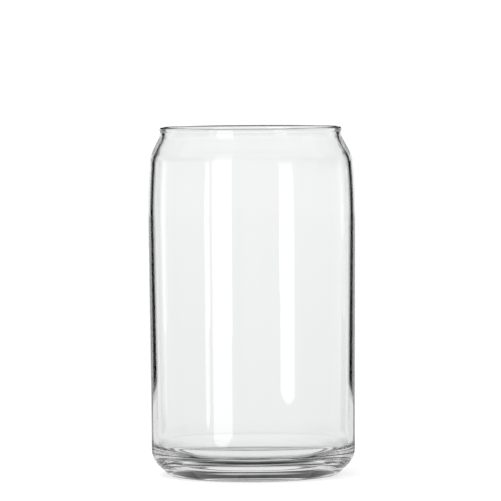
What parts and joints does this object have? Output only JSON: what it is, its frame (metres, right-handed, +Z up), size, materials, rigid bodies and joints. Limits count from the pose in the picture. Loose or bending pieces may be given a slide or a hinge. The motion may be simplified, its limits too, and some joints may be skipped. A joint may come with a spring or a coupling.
{
  "type": "can shaped glass",
  "caption": "Clear drinking glass shaped like a beverage can, with a rounded shoulder, a short neck, a rounded rim and a thick base.",
  "frame": {"origin": "centre of the foot, on the surface that the glass stands on", "axes": "+Z up along the glass's axis of turning, from the foot to the mouth; X and Y are any two directions across it"},
  "size_m": [0.0794, 0.0794, 0.1334],
  "materials": {
    "clear_glass": "clear, colourless and polished, with fire polished rim"
  },
  "bodies": {
    "root": {"glass_body": "clear_glass"}
  },
  "joints": []
}
